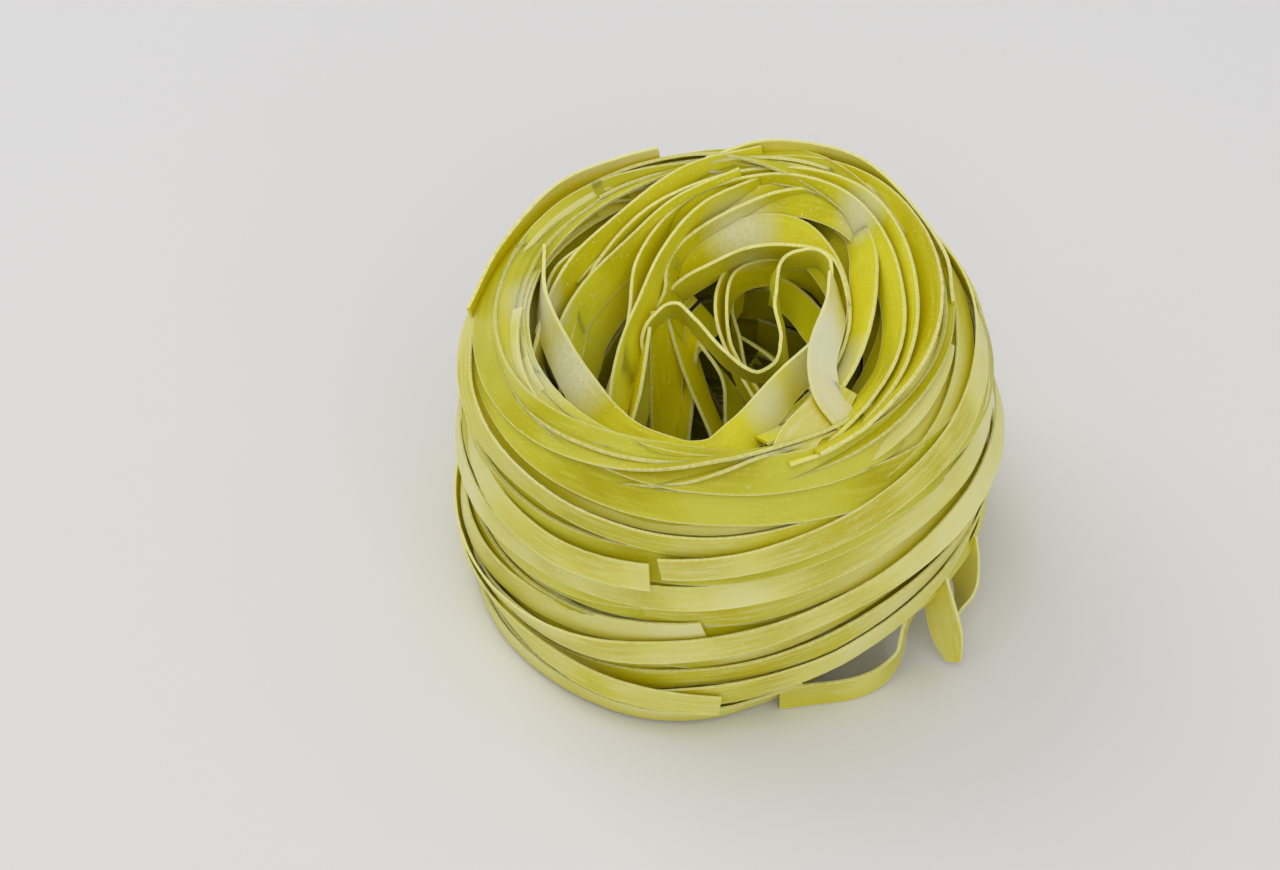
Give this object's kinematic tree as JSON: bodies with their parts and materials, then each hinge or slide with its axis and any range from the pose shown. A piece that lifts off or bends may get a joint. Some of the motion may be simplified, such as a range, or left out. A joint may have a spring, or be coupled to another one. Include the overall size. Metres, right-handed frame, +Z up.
{
  "type": "dry pasta nest",
  "caption": "Dry pasta nest: flat ribbons wound into a squat round nest with an off-centre hollow in its top.",
  "frame": {"origin": "centre of the flat underside, on the surface that the nest rests on", "axes": "+Z up out of the hollow; +X to the right and -Y towards the viewer, with the square-cut seam of the outer wraps at the front left"},
  "size_m": [0.0727, 0.0729, 0.0481],
  "materials": {
    "pasta": "dry durum wheat dough, translucent greenish yellow, faintly satin with fine pale grains and rough whitish cut edges"
  },
  "bodies": {
    "root": {"pasta_nest": "pasta"}
  },
  "joints": []
}
